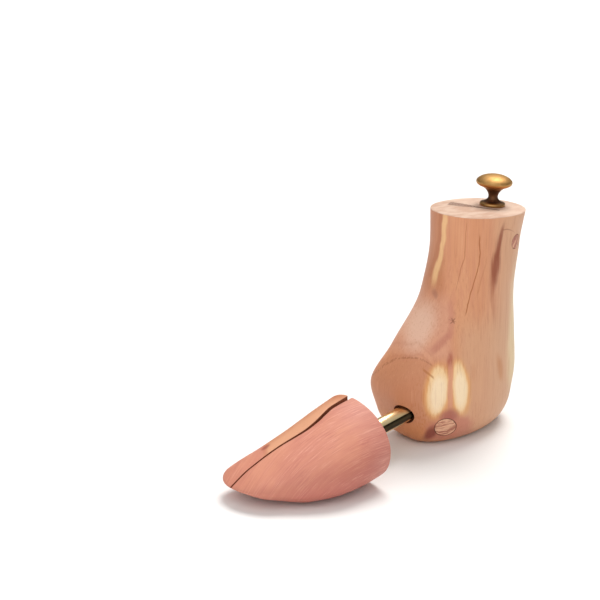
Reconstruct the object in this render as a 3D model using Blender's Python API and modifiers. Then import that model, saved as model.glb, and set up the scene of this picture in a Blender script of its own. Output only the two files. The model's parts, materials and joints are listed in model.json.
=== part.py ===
"""Adjustable cedar boot tree with a split, spring-loaded toe, for a left boot.

+X points to the toe, +Y to the outer side of the foot and +Z up. The origin is on the flat underside of
the heel block, below the leg. Sizes are in millimetres and are scaled to metres as the meshes are made.
"""

import math

import bmesh
import bpy
from mathutils import Matrix, Vector

MM = 0.001
GAP = 0.3  # kept between pieces that touch

# Heel and leg block: stations up its height.
HEEL_LEVELS = (0, 22, 46, 76, 114, 152, 176)
HEEL_BACK = (-55, -57, -60, -57.5, -54, -57, -62)
HEEL_FRONT = (50, 53.5, 60, 47.5, 25, 17.5, 17.5)
HEEL_HALF_WIDTH = (30, 31, 32, 30.7, 29.5, 29, 30.5)
HEEL_REAR_POWER = (2.0, 2.0, 2.1, 2.1, 2.0, 2.2, 2.2)
HEEL_LEFT_POWER = (2.8, 2.8, 2.7, 2.5, 2.3, 2.2, 2.2)
HEEL_RIGHT_POWER = (4.2, 4.5, 4.2, 3.2, 2.4, 2.2, 2.2)
HEEL_BEND = (-12, -12, -12, -6, 0, 0, 0)  # how far the front swings inwards
BEND_REACH = 60
BASE_INSET = 17  # rounding of the underside, measured inwards and upwards
BASE_RISE = 26
TOP_TILT = math.radians(6.7)  # the leg leans back, so its top face faces back a little
TOP_LEAN = math.radians(2)  # and its outer side is cut a little higher
TILT_STARTS = 0.35  # as a share of the height

# Toe: stations along its length.
TOE_REAR = 111
TOE_LENGTH = 100
TOE_STATIONS = (0, 0.2, 0.4, 0.6, 0.8, 1.0)
TOE_LEFT = (43, 42.7, 41.5, 36.6, 28.6, 20.3)
TOE_RIGHT = (30, 31.6, 32, 30.2, 26, 19.5)
TOE_TOP = (61, 55, 46.6, 37.8, 27.7, 16.8)
TOE_BOTTOM = (0, 0, 0, 0, 4.2, 11)
TOE_CENTRE = (0.3, 0.3, -1, -5.3, -12.6, -18.2)
TOE_WIDEST = (0.5, 0.45, 0.45, 0.45, 0.45, 0.45)
TOE_BELLY_POWER = (2.3, 2.5, 2.6, 2.6, 2.5, 2.3)
TOE_CAP = 0.86  # where the rounding of the tip starts

# Saw cut between the toe halves, and the hinge near its front end.
CUT_Y = 1.3
CUT_SLOPE = -0.196
CUT_HALF_REAR = 1.7
CUT_HALF_FRONT = 0.65
# The saw wandered: how far the cut strays sideways from its straight line, along x.
WANDER_STATIONS = (111, 126, 134, 143, 152, 162, 172, 182, 211)
WANDER = (-1.6, -1.2, 0.9, 3.2, 4.0, 2.9, 1.3, 0.5, 0)
HINGE_X = 195
HINGE_Y = CUT_Y + CUT_SLOPE * (HINGE_X - TOE_REAR)
CUT_ANGLE = math.atan(CUT_SLOPE)

# Tube axis: it leaves the block at MOUTH and dips towards the toe.
MOUTH = (53, 0, 28.8)
DIP = math.radians(6)
TUBE_R = 6.5
TUBE_BORE_R = 5.5
INNER_R = 5.2  # the plugs inside the tube
SPRING_R = 4.4
TUBE_BACK = -53
TUBE_FRONT = 65
GUIDE_R = 6.58
MOUTH_R = 8.3
MOUTH_DEPTH = 13
TRAVEL = 24
ANCHOR_U = -43
ANCHOR_R = 1.5
SLOT_SLACK = 0.25
SPRING_BACK = -36.7
SPRING_FRONT = 16
TOE_TRAVEL = 6

# Spreader cone on the front of the tube.
CONE_BACK = 68
CONE_FRONT = 80
CONE_R = 6.0
CONE_SLOPE = math.tan(math.radians(15))
CONE_PLAY = 0.6
RELIEF_SIDE = 2.4  # how far the slot above and below the cone reaches into the left half
ROD_R = 1.9
ROD_END = 100
BOSS_BACK = 93
BOSS_FRONT = 97.2

# Hinge stack at the toe tip, up the pin.
PIN_R = 1.2
KNUCKLE_R = 2.2
LEFT_LEAF_Z = (17.6, 22.6)
BAR_Z = (12.9, 17.3)
RIGHT_LEAF_Z = (7.6, 12.6)
LEAF_LENGTH = 24
LEAF_FACES = (0.8, 2.0)
SCREW_PLACES = (10, 19)
SCREW_LENGTH = 12
CHANNEL_OPENS = 6.2  # the bar's channel and the straps' recesses run out through the cut
RECESS_OPENS = 1.5

# Knob and its nut.
KNOB_BEHIND = 15.8  # behind the middle of the top face
STUD_R = 1.9
NUT_DEPTH = 22.3
NUT_R = 5.3
NUT_HALF = 8
NUT_HOLE_R = 5.85
PLUG_R = 5.55

# Round patch on the lower outer flank.
PATCH_X = 30.5
PATCH_ANGLE = math.radians(-32)
PATCH_R = 7.75
PATCH_HOLE_R = 8.0
PATCH_FLOOR = 15

WOOD = ((0.62, 0.33, 0.20), 0.55, 0.0)
TOE_WOOD = ((0.66, 0.30, 0.22), 0.55, 0.0)
PLUG_WOOD = ((0.50, 0.26, 0.15), 0.6, 0.0)
OLD_BRASS = ((0.36, 0.24, 0.09), 0.35, 1.0)
BRIGHT_BRASS = ((0.71, 0.56, 0.28), 0.2, 1.0)
STEEL = ((0.55, 0.55, 0.56), 0.3, 1.0)
SPRING_STEEL = ((0.4, 0.4, 0.42), 0.35, 1.0)


def clear_scene():
    for obj in list(bpy.data.objects):
        bpy.data.objects.remove(obj)


def new_collection(name):
    collection = bpy.data.collections.new(name)
    bpy.context.scene.collection.children.link(collection)
    return collection


def material(name, look):
    colour, roughness, metallic = look
    result = bpy.data.materials.new(name)
    result.use_nodes = True
    shader = result.node_tree.nodes["Principled BSDF"]
    shader.inputs["Base Color"].default_value = (*colour, 1)
    shader.inputs["Roughness"].default_value = roughness
    shader.inputs["Metallic"].default_value = metallic
    return result


def smooth(xs, ys, x):
    """The value at x of a curve through the stations that never overshoots them."""
    last = len(xs) - 1
    step = [xs[i + 1] - xs[i] for i in range(last)]
    rise = [(ys[i + 1] - ys[i]) / step[i] for i in range(last)]
    slope = [rise[0]] + [0.0] * (last - 1) + [rise[-1]]
    for i in range(1, last):
        if rise[i - 1] * rise[i] > 0:
            before, after = 2 * step[i] + step[i - 1], step[i] + 2 * step[i - 1]
            slope[i] = (before + after) / (before / rise[i - 1] + after / rise[i])
    i = min(max(sum(value <= x for value in xs) - 1, 0), last - 1)
    t = (x - xs[i]) / step[i]
    start = ys[i] * (1 + 2 * t) * (1 - t) ** 2 + step[i] * slope[i] * t * (1 - t) ** 2
    end = ys[i + 1] * t * t * (3 - 2 * t) + step[i] * slope[i + 1] * t * t * (t - 1)
    return start + end


def rounded(value, power):
    """Sine or cosine bent into that of a superellipse."""
    return math.copysign(abs(value) ** (2 / power), value)


def heel_ring(level, count):
    def at(stations):
        return smooth(HEEL_LEVELS, stations, level)

    inset = 0.0
    if level < BASE_RISE:
        inset = BASE_INSET * (1 - math.sqrt(1 - (1 - level / BASE_RISE) ** 2))
    back, front = at(HEEL_BACK) + inset, at(HEEL_FRONT) - inset
    middle = (back + front) / 2
    share = (level / HEEL_LEVELS[-1] - TILT_STARTS) / (1 - TILT_STARTS)
    share = min(max(share, 0), 1)
    turned_by = share * share * (3 - 2 * share)
    turned_to = Matrix.Rotation(-TOP_TILT * turned_by, 3, "Y") @ Matrix.Rotation(TOP_LEAN * turned_by, 3, "X")
    ring = []
    for k in range(count):
        turn = 2 * math.pi * k / count
        c, s = math.cos(turn), math.sin(turn)
        side = HEEL_LEFT_POWER if s >= 0 else HEEL_RIGHT_POWER
        power = at(side) if c >= 0 else at(HEEL_REAR_POWER)
        x = (front - middle) * rounded(c, power)
        y = (at(HEEL_HALF_WIDTH) - inset) * rounded(s, power)
        y += at(HEEL_BEND) * max(x / BEND_REACH, 0) ** 1.6
        ring.append((Vector((middle, 0, level)) + turned_to @ Vector((x, y, 0))) * MM)
    return ring


def toe_ring(share, count):
    def at(stations):
        return smooth(TOE_STATIONS, stations, share)

    low, high = at(TOE_BOTTOM), at(TOE_TOP)
    widest = low + at(TOE_WIDEST) * (high - low)
    cap = 1.0
    if share > TOE_CAP:
        cap = math.sqrt(max(0, 1 - ((share - TOE_CAP) / (1 - TOE_CAP)) ** 2))
    cap = max(cap, 0.03)
    ring = []
    for k in range(count):
        turn = 2 * math.pi * k / count
        c, s = math.cos(turn), math.sin(turn)
        power = 2.0 if s >= 0 else at(TOE_BELLY_POWER)
        half = at(TOE_LEFT if c >= 0 else TOE_RIGHT)
        height = high - widest if s >= 0 else widest - low
        y = at(TOE_CENTRE) + cap * half * rounded(c, power)
        z = widest + cap * height * rounded(s, power)
        ring.append(Vector((TOE_REAR + TOE_LENGTH * share, y, z)) * MM)
    return ring


def link_mesh(name, bm, collection, look=None):
    """Turns a bmesh into an object, with its faces pointing out."""
    bmesh.ops.recalc_face_normals(bm, faces=bm.faces)
    mesh = bpy.data.meshes.new(name)
    bm.to_mesh(mesh)
    bm.free()
    obj = bpy.data.objects.new(name, mesh)
    if look:
        mesh.materials.append(look)
    mesh.shade_smooth()
    mesh.set_sharp_from_angle(angle=math.radians(35))
    collection.objects.link(obj)
    return obj


def loft(name, rings, collection, look=None):
    bm = bmesh.new()
    rows = [[bm.verts.new(point) for point in ring] for ring in rings]
    count = len(rows[0])
    for lower, upper in zip(rows, rows[1:]):
        for k in range(count):
            after = (k + 1) % count
            bm.faces.new((lower[k], lower[after], upper[after], upper[k]))
    bm.faces.new(rows[0])
    bm.faces.new(rows[-1])
    return link_mesh(name, bm, collection, look)


def cylinder(name, radius, low, high, collection, look=None, segments=32, end_radius=None):
    """A cylinder or cone along Z from low to high."""
    bm = bmesh.new()
    bmesh.ops.create_cone(
        bm,
        cap_ends=True,
        segments=segments,
        radius1=radius * MM,
        radius2=(radius if end_radius is None else end_radius) * MM,
        depth=(high - low) * MM,
        matrix=Matrix.Translation((0, 0, (low + high) / 2 * MM)),
    )
    return link_mesh(name, bm, collection, look)


def box(name, low, high, collection, look=None):
    bm = bmesh.new()
    bmesh.ops.create_cube(bm, size=1)
    size = [(high[k] - low[k]) * MM for k in range(3)]
    centre = [(high[k] + low[k]) / 2 * MM for k in range(3)]
    bmesh.ops.scale(bm, vec=size, verts=bm.verts)
    bmesh.ops.translate(bm, vec=centre, verts=bm.verts)
    return link_mesh(name, bm, collection, look)


def prism(name, outline, low, high, collection, look=None):
    """A flat outline in X and Y, given thickness from low to high along Z."""
    bm = bmesh.new()
    base = bm.faces.new([bm.verts.new((x * MM, y * MM, low * MM)) for x, y in outline])
    made = bmesh.ops.extrude_face_region(bm, geom=[base])
    top = [item for item in made["geom"] if isinstance(item, bmesh.types.BMVert)]
    bmesh.ops.translate(bm, vec=(0, 0, (high - low) * MM), verts=top)
    return link_mesh(name, bm, collection, look)


def turned(name, profile, collection, look=None, steps=32, ring=False):
    """A profile of (radius, height) points, listed down the outer side, turned about Z."""
    bm = bmesh.new()
    verts = [bm.verts.new((radius * MM, 0, height * MM)) for radius, height in profile]
    for first, second in zip(verts, verts[1:]):
        bm.edges.new((first, second))
    if ring:
        bm.edges.new((verts[-1], verts[0]))
    mesh = bpy.data.meshes.new(name)
    bm.to_mesh(mesh)
    bm.free()
    obj = bpy.data.objects.new(name, mesh)
    if look:
        mesh.materials.append(look)
    collection.objects.link(obj)
    screw = obj.modifiers.new("Turn", "SCREW")
    screw.steps = steps
    screw.render_steps = steps
    screw.use_merge_vertices = True
    screw.merge_threshold = 0.00001
    screw.use_smooth_shade = True
    return obj


def coil(name, radius, wire, back, front, turns, collection, look):
    """An open coil along X, with its end turns closed up."""
    per_turn = 10
    closed = 1.0
    points = []
    for k in range(int(turns * per_turn) + 1):
        turn = k / per_turn
        dead = min(turn, closed) + max(turn - (turns - closed), 0)
        live = min(max(turn - closed, 0), turns - 2 * closed)
        rise = dead * 2.15 * wire
        open_length = front - back - 2 * wire - 2 * closed * 2.15 * wire
        x = back + wire + rise + open_length * live / (turns - 2 * closed)
        angle = 2 * math.pi * turn
        points.append((x, radius * math.cos(angle), radius * math.sin(angle)))
    curve = bpy.data.curves.new(name, "CURVE")
    curve.dimensions = "3D"
    spline = curve.splines.new("POLY")
    spline.points.add(len(points) - 1)
    for point, place in zip(spline.points, points):
        point.co = (*[value * MM for value in place], 1)
    curve.bevel_depth = wire * MM
    curve.bevel_resolution = 2
    curve.use_fill_caps = True
    curve.materials.append(look)
    obj = bpy.data.objects.new(name, curve)
    collection.objects.link(obj)
    return obj


def frame_empty(name, place, rotation, collection):
    empty = bpy.data.objects.new(name, None)
    empty.empty_display_size = 0.01
    empty.location = [value * MM for value in place]
    empty.rotation_euler = rotation
    collection.objects.link(empty)
    return empty


def put(obj, parent, rotation=(0, 0, 0), place=(0, 0, 0)):
    obj.parent = parent
    obj.rotation_euler = rotation
    obj.location = [value * MM for value in place]
    return obj


def along_x(obj, parent):
    """Lays a piece made along Z on its parent's X axis."""
    return put(obj, parent, (0, math.pi / 2, 0))


def combine(obj, other, operation="DIFFERENCE"):
    modifier = obj.modifiers.new(other.name, "BOOLEAN")
    modifier.operation = operation
    modifier.solver = "EXACT"
    modifier.object = other


def hinge_origin(obj):
    """Moves a piece's origin to the hinge axis without moving the piece."""
    place = Vector((HINGE_X * MM, HINGE_Y * MM, 0))
    obj.data.transform(Matrix.Translation(-place))
    obj.location = place


def levels(count, power):
    """Heights that are closer together near the underside."""
    return [HEEL_LEVELS[-1] * (k / count) ** power for k in range(count + 1)]


def top_face_frame(collection):
    """On the top face where the knob stands, with Z along the knob."""
    middle = (HEEL_BACK[-1] + HEEL_FRONT[-1]) / 2
    x = middle - KNOB_BEHIND * math.cos(TOP_TILT)
    z = HEEL_LEVELS[-1] - KNOB_BEHIND * math.sin(TOP_TILT)
    return frame_empty("knob_axis", (x, 0, z), (TOP_LEAN, -TOP_TILT, 0), collection)


def make_heel(parts, cutters, frames, looks):
    tube_axis, knob_axis, patch_axis = frames
    rings = [heel_ring(level, 44) for level in levels(24, 1.4)]
    block = loft("heel_block", rings, parts, looks["wood"])
    body = loft("block_outline", rings, cutters)

    mouth = cylinder("mouth_cut", MOUTH_R, -MOUTH_DEPTH, 30, cutters, segments=48)
    guide = cylinder("guide_cut", GUIDE_R, TUBE_BACK - TRAVEL - 2, -MOUTH_DEPTH + 1, cutters, segments=48)
    anchor_hole = cylinder("anchor_cut", ANCHOR_R + 0.2, -45, 16.5, cutters, segments=20)
    stud_hole = cylinder("stud_cut", STUD_R + GAP, -NUT_DEPTH - 9, 5, cutters, segments=20)
    nut_hole = cylinder("nut_cut", NUT_HOLE_R, -NUT_HALF - GAP, 45, cutters)
    patch_hole = cylinder("patch_cut", PATCH_HOLE_R, PATCH_FLOOR, 45, cutters)
    along_x(mouth, tube_axis)
    along_x(guide, tube_axis)
    put(anchor_hole, tube_axis, place=(ANCHOR_U, 0, 0))
    put(stud_hole, knob_axis)
    put(nut_hole, knob_axis, (-math.pi / 2, 0, 0), (0, 0, -NUT_DEPTH))
    put(patch_hole, patch_axis)
    for cutter in (mouth, guide, anchor_hole, stud_hole, nut_hole, patch_hole):
        combine(block, cutter)

    patch = cylinder("knot_plug", PATCH_R, PATCH_FLOOR + GAP, 45, parts, looks["plug"])
    combine(put(patch, patch_axis), body, "INTERSECT")
    plug = cylinder("barrel_nut_plug", PLUG_R, NUT_HALF + 1, 45, parts, looks["plug"])
    put(plug, knob_axis, (-math.pi / 2, 0, 0), (0, 0, -NUT_DEPTH))
    combine(plug, body, "INTERSECT")

    nut = cylinder("barrel_nut", NUT_R, -NUT_HALF, NUT_HALF, parts, looks["steel"])
    put(nut, knob_axis, (-math.pi / 2, 0, 0), (0, 0, -NUT_DEPTH))
    combine(nut, stud_hole)
    stud = cylinder("knob_stud", STUD_R, -NUT_DEPTH - 8, 8.4, parts, looks["steel"], segments=20)
    put(stud, knob_axis)
    pin = cylinder("anchor_pin", ANCHOR_R, -32.3, 16.2, parts, looks["steel"], segments=20)
    put(pin, tube_axis, place=(ANCHOR_U, 0, 0))
    seat_back = ANCHOR_U + ANCHOR_R + GAP
    seat = cylinder("spring_seat", INNER_R, seat_back, SPRING_BACK - GAP, parts, looks["steel"])
    along_x(seat, tube_axis)


def make_knob(parts, frame, looks):
    profile = [
        (0, 24.4), (3.4, 24.2), (6.8, 23.6), (9.4, 22.7), (11.3, 21.7), (12.7, 20.6), (13.5, 19.6),
        (13.8, 18.6), (13.6, 17.5), (12.8, 16.4), (11.4, 15.5), (9.7, 14.8), (8.0, 14.0), (6.6, 13.0),
        (5.5, 11.8), (4.5, 10.4), (3.9, 9.0), (3.65, 7.7), (3.8, 6.4), (4.5, 5.1), (5.7, 4.0),
        (7.4, 3.1), (8.9, 2.9), (9.7, 2.2), (9.9, 1.3), (9.6, GAP), (2.2, GAP), (2.2, 8.8), (0, 9.4),
    ]
    knob = turned("knob", profile, parts, looks["old_brass"], steps=32)
    put(knob, frame)


def slot_outline(half_width, start, end):
    """A slot with round ends, along X."""
    outline = []
    for centre, from_angle in ((end, -90), (start, 90)):
        for k in range(7):
            angle = math.radians(from_angle + 30 * k)
            outline.append((centre + half_width * math.cos(angle), half_width * math.sin(angle)))
    return outline


def make_tube(parts, cutters, axis, looks):
    profile = [
        (TUBE_R, TUBE_FRONT), (TUBE_R, TUBE_BACK), (TUBE_BORE_R, TUBE_BACK), (TUBE_BORE_R, TUBE_FRONT),
    ]
    tube = turned("brass_tube", profile, parts, looks["brass"], steps=48, ring=True)
    along_x(tube, axis)
    slot_half = ANCHOR_R + SLOT_SLACK
    outline = slot_outline(slot_half, ANCHOR_U, ANCHOR_U + TRAVEL)
    slot = put(prism("slot_cut", outline, -9, 9, cutters), axis)
    combine(tube, slot)

    slug = cylinder("spring_stop", INNER_R, SPRING_FRONT + GAP, SPRING_FRONT + 8, parts, looks["brass"])
    along_x(slug, axis)
    spring = coil("main_spring", SPRING_R, 0.55, SPRING_BACK, SPRING_FRONT, 12, parts, looks["spring"])
    put(spring, axis)

    cone_tip = CONE_R - (CONE_FRONT - CONE_BACK) * CONE_SLOPE
    hole = ROD_R + GAP
    profile = [
        (0, CONE_BACK + 5), (hole, CONE_BACK + 6), (hole, CONE_FRONT + 2), (cone_tip, CONE_FRONT + 2),
        (cone_tip, CONE_FRONT), (CONE_R, CONE_BACK), (CONE_R + 0.2, CONE_BACK),
        (CONE_R + 0.2, TUBE_FRONT + GAP), (INNER_R, TUBE_FRONT + GAP), (INNER_R, TUBE_FRONT - 14),
        (0, TUBE_FRONT - 14),
    ]
    along_x(turned("spreader_cone", profile, parts, looks["brass"], steps=32), axis)
    profile = [
        (0, ROD_END), (3.0, ROD_END), (3.4, ROD_END - 0.5), (3.4, BOSS_FRONT + GAP), (ROD_R, BOSS_FRONT + GAP),
        (ROD_R, CONE_BACK + 7), (0, CONE_BACK + 7),
    ]
    along_x(turned("spreader_rod", profile, parts, looks["steel"], steps=20), axis)
    back, front = CONE_FRONT + 2 + GAP, BOSS_BACK - GAP
    put(coil("return_spring", 2.85, 0.45, back, front, 4, parts, looks["spring"]), axis)


def cut_prism(name, side, cutters):
    """All that lies beyond one face of the saw cut: side is 1 to leave the left half, -1 the right."""
    far = -90 * side

    def face(x):
        share = min(max((x - TOE_REAR) / (HINGE_X - TOE_REAR), 0), 1)
        half = CUT_HALF_REAR + (CUT_HALF_FRONT - CUT_HALF_REAR) * share
        wander = smooth(WANDER_STATIONS, WANDER, min(max(x, TOE_REAR), TOE_REAR + TOE_LENGTH))
        return CUT_Y + CUT_SLOPE * (x - TOE_REAR) + wander + side * half

    xs = [TOE_REAR - 10, *range(TOE_REAR, HINGE_X, 4), HINGE_X, TOE_REAR + TOE_LENGTH + 10]
    outline = [(x, face(x)) for x in xs] + [(xs[-1], far), (xs[0], far)]
    return prism(name, outline, -10, 90, cutters)


def toe_cutters(cutters, axis, hinge_frame):
    """The hollows that both halves share: spreader pocket, rod chamber, bar channel and knuckle well."""
    play = CONE_R + CONE_PLAY
    seat_start = CONE_BACK + TOE_TRAVEL + 1
    seat_r = CONE_R - (seat_start - CONE_BACK) * CONE_SLOPE + CONE_PLAY
    seat_end_r = CONE_R - (CONE_FRONT - CONE_BACK) * CONE_SLOPE + CONE_PLAY
    pocket = cylinder("pocket_cut", play + 0.4, 45, seat_start, cutters)
    seat = cylinder("seat_cut", seat_r, seat_start - 0.5, CONE_FRONT + 1, cutters, end_radius=seat_end_r)
    along_x(pocket, axis)
    along_x(seat, axis)
    relief = box("relief_cut", (seat_start - 4, -4, -play), (CONE_FRONT + 2, RELIEF_SIDE, play), cutters)
    put(relief, axis)
    chamber = put(box("chamber_cut", (CONE_FRONT, -10, -6.5), (ROD_END + 8, 5.5, 6.5), cutters), axis)
    channel = box("channel_cut", (-52, -2.2, BAR_Z[0] - 0.5), (3, CHANNEL_OPENS, BAR_Z[1] + 0.5), cutters)
    well = cylinder("well_cut", KNUCKLE_R + 0.7, RIGHT_LEAF_Z[0] - 0.5, LEFT_LEAF_Z[1] + 0.8, cutters)
    put(channel, hinge_frame)
    put(well, hinge_frame)
    return [pocket, seat, relief, chamber, channel, well]


def leaf_outline(side):
    """A knuckle with a strap that lies on one face of the cut, in the hinge's own frame."""
    near, far = LEAF_FACES
    first, last = math.asin(near / KNUCKLE_R), math.asin(far / KNUCKLE_R)
    sweep = 2 * math.pi - (last - first)
    steps = 18
    outline = [(-LEAF_LENGTH, near * side)]
    for k in range(steps + 1):
        angle = first - sweep * k / steps
        outline.append((-KNUCKLE_R * math.cos(angle), KNUCKLE_R * math.sin(angle) * side))
    outline.append((-LEAF_LENGTH, far * side))
    return outline


def make_toe_half(name, side, shared, parts, cutters, hinge_frame, looks):
    word = name.split("_")[-1]
    rings = [toe_ring(math.sin(k / 18 * math.pi / 2), 36) for k in range(19)]
    half = loft(name, rings, parts, looks["toe_wood"])
    hinge_origin(half)
    combine(half, cut_prism(f"{word}_side_cut", side, cutters))
    for cutter in shared:
        combine(half, cutter)

    low, high = LEFT_LEAF_Z if side > 0 else RIGHT_LEAF_Z
    faces = sorted((-side * RECESS_OPENS, side * (LEAF_FACES[1] + GAP)))
    corner, far_corner = (-LEAF_LENGTH - GAP, faces[0], low - GAP), (0, faces[1], high + GAP)
    recess = box(f"{word}_leaf_cut", corner, far_corner, cutters)
    combine(half, put(recess, hinge_frame))

    leaf = prism(f"hinge_leaf_{word}", leaf_outline(side), low, high, parts, looks["steel"])
    put(leaf, hinge_frame)
    pin_hole = cylinder(f"{word}_pin_cut", PIN_R + 0.2, 5, 26, cutters, segments=20)
    combine(leaf, put(pin_hole, hinge_frame))
    tilt = (-side * math.pi / 2, 0, 0)
    for place, which in zip(SCREW_PLACES, ("front", "rear")):
        where = (-place, side * (LEAF_FACES[0] + 0.1), (low + high) / 2)
        sink = cylinder(
            f"{word}_{which}_sink_cut", 2.35, -0.2, 1.2, cutters, segments=16, end_radius=1.3
        )
        pilot = cylinder(f"{word}_{which}_pilot_cut", 1.3, 0.5, SCREW_LENGTH + 0.5, cutters, segments=16)
        for cutter in (sink, pilot):
            put(cutter, hinge_frame, tilt, where)
            combine(leaf, cutter)
        combine(half, pilot)
        profile = [
            (0, SCREW_LENGTH), (0.5, SCREW_LENGTH - 1.5), (1.0, SCREW_LENGTH - 3.5), (1.0, 1.1), (2.0, 0),
            (0, 0),
        ]
        screw = turned(f"leaf_screw_{word}_{which}", profile, parts, looks["brass"], steps=16)
        put(screw, hinge_frame, tilt, where)


def make_hinge_bar(parts, cutters, axis, hinge_frame, looks):
    bar = box("hinge_bar", (-48, -1, BAR_Z[0]), (-1.2, 1, BAR_Z[1]), parts, looks["steel"])
    put(bar, hinge_frame)
    eye = put(cylinder("eye_shape", KNUCKLE_R, *BAR_Z, cutters), hinge_frame)
    boss = put(box("boss_shape", (BOSS_BACK, -7.5, -5), (BOSS_FRONT, 4, 5), cutters), axis)
    combine(bar, eye, "UNION")
    combine(bar, boss, "UNION")
    rod_hole = along_x(cylinder("rod_cut", ROD_R + 0.2, 88, 102, cutters, segments=20), axis)
    pin_hole = put(cylinder("eye_cut", PIN_R + 0.2, 5, 26, cutters, segments=20), hinge_frame)
    combine(bar, rod_hole)
    combine(bar, pin_hole)
    low, high = RIGHT_LEAF_Z[0] - 0.2, LEFT_LEAF_Z[1] + 0.5
    pin = cylinder("hinge_pin", PIN_R, low, high, parts, looks["steel"], segments=20)
    put(pin, hinge_frame)


def main():
    clear_scene()
    parts = new_collection("boot_tree")
    cutters = new_collection("cutters")
    looks = {
        "wood": material("cedar_block", WOOD),
        "toe_wood": material("cedar_toe", TOE_WOOD),
        "plug": material("cedar_plug", PLUG_WOOD),
        "old_brass": material("old_brass", OLD_BRASS),
        "brass": material("bright_brass", BRIGHT_BRASS),
        "steel": material("steel", STEEL),
        "spring": material("spring_steel", SPRING_STEEL),
    }
    tube_axis = frame_empty("tube_axis", MOUTH, (0, DIP, 0), parts)
    knob_axis = top_face_frame(parts)
    patch_centre = (PATCH_X, 0, MOUTH[2] + math.tan(DIP) * (MOUTH[0] - PATCH_X))
    patch_axis = frame_empty("patch_axis", patch_centre, (PATCH_ANGLE - math.pi / 2, 0, 0), parts)
    # Its X runs forward along the cut, its Y to the left face and its Z up the pin.
    hinge_frame = frame_empty("hinge_axis", (HINGE_X, HINGE_Y, 0), (0, 0, CUT_ANGLE), parts)

    make_heel(parts, cutters, (tube_axis, knob_axis, patch_axis), looks)
    make_knob(parts, knob_axis, looks)
    make_tube(parts, cutters, tube_axis, looks)
    shared = toe_cutters(cutters, tube_axis, hinge_frame)
    make_toe_half("toe_half_left", 1, shared, parts, cutters, hinge_frame, looks)
    make_toe_half("toe_half_right", -1, shared, parts, cutters, hinge_frame, looks)
    make_hinge_bar(parts, cutters, tube_axis, hinge_frame, looks)
    for obj in cutters.objects:
        obj.hide_render = True
        obj.display_type = "WIRE"


main()
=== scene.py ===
import json
import math

import bmesh
import bpy
from mathutils import Matrix, Vector

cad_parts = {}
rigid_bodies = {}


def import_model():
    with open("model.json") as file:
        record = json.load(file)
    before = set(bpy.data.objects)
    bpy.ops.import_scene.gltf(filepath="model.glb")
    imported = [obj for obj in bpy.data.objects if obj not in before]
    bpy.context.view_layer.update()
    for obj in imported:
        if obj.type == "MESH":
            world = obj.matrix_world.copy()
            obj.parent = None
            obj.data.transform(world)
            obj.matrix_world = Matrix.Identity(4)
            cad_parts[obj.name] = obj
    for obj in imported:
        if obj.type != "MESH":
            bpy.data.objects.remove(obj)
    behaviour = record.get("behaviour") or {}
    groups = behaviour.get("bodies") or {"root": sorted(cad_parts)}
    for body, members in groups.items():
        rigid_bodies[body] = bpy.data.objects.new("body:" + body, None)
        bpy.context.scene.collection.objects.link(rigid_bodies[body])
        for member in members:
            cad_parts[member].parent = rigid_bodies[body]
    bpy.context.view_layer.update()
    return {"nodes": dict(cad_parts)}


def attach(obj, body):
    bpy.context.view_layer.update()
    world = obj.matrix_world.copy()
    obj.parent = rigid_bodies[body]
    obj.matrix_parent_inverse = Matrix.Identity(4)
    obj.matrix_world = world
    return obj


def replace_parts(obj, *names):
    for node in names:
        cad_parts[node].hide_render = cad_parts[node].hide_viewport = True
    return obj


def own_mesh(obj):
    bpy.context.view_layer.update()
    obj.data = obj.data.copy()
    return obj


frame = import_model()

# Sizes are in millimetres and become metres as the meshes are made.
MM = 0.001
GAP = 0.3

# Heel and leg block: stations up its height.
HEEL_LEVELS = (0, 22, 46, 76, 114, 152, 176)
HEEL_BACK = (-55, -57, -60, -57.5, -54, -57, -62)
HEEL_FRONT = (50, 53.5, 60, 47.5, 25, 17.5, 17.5)
HEEL_HALF_WIDTH = (30, 31, 32, 30.7, 29.5, 29, 30.5)
HEEL_REAR_POWER = (2.0, 2.0, 2.1, 2.1, 2.0, 2.2, 2.2)
HEEL_LEFT_POWER = (2.8, 2.8, 2.7, 2.5, 2.3, 2.2, 2.2)
HEEL_RIGHT_POWER = (4.2, 4.5, 4.2, 3.2, 2.4, 2.2, 2.2)
HEEL_BEND = (-12, -12, -12, -6, 0, 0, 0)
BEND_REACH = 60
BASE_INSET = 17
BASE_RISE = 26
TOP_TILT = math.radians(6.7)
TOP_LEAN = math.radians(2)
TILT_STARTS = 0.35
TOP_ROUNDING = 0.8

# Toe: stations along its length.
TOE_REAR = 111
TOE_LENGTH = 100
TOE_STATIONS = (0, 0.2, 0.4, 0.6, 0.8, 1.0)
TOE_LEFT = (43, 42.7, 41.5, 36.6, 28.6, 20.3)
TOE_RIGHT = (30, 31.6, 32, 30.2, 26, 19.5)
TOE_TOP = (61, 55, 46.6, 37.8, 27.7, 16.8)
TOE_BOTTOM = (0, 0, 0, 0, 4.2, 11)
TOE_CENTRE = (0.3, 0.3, -1, -5.3, -12.6, -18.2)
TOE_WIDEST = (0.5, 0.45, 0.45, 0.45, 0.45, 0.45)
TOE_BELLY_POWER = (2.3, 2.5, 2.6, 2.6, 2.5, 2.3)
TOE_CAP = 0.86
REAR_ROUNDING = 0.35
EDGE_EASE = 0.6
REAR_EASE = 1.9  # the outer half's top edge is eased this much more at the rear
REAR_EASE_ENDS = 0.4  # as a share of the length

# Saw cut and hinge.
CUT_Y = 1.3
CUT_SLOPE = -0.196
CUT_HALF_REAR = 1.7
CUT_HALF_FRONT = 0.65
# The saw wandered: how far the cut strays sideways from its straight line, along x.
WANDER_STATIONS = (111, 126, 134, 143, 152, 162, 172, 182, 211)
WANDER = (-1.6, -1.2, 0.9, 3.2, 4.0, 2.9, 1.3, 0.5, 0)
HINGE_X = 195
HINGE_Y = CUT_Y + CUT_SLOPE * (HINGE_X - TOE_REAR)
CUT_ANGLE = math.atan(CUT_SLOPE)

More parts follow.
